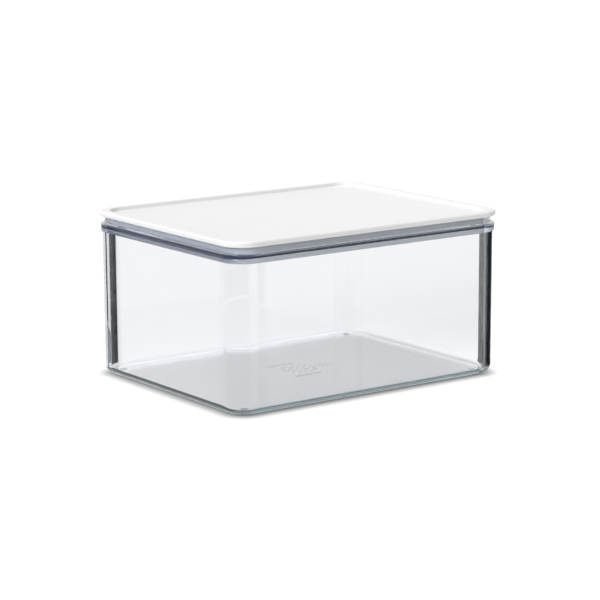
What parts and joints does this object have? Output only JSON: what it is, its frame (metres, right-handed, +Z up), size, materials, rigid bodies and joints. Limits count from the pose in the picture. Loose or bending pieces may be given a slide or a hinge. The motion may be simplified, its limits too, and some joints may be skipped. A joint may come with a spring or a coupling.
{
  "type": "cheese storage box",
  "caption": "Clear rectangular food storage box with rounded corners, a ribbed flange round the mouth, small moulded feet and a white lift-off lid with a recessed top.",
  "frame": {"origin": "on the table, under the middle of the box", "axes": "+X along the long side, +Y along the short side, +Z up; the long front wall faces -Y"},
  "size_m": [0.2342, 0.1846, 0.1195],
  "materials": {
    "clear_plastic": "clear, polished, faintly cool",
    "white_plastic": "white, satin, slightly soft moulding"
  },
  "bodies": {
    "box": {"box_body": "clear_plastic"},
    "lid": {"lid": "white_plastic"}
  },
  "joints": [
    {"name": "lid_lift", "type": "slide", "parent": "box", "child": "lid", "axis": [0, 0, 1], "range_m": [0, 0.15]}
  ]
}
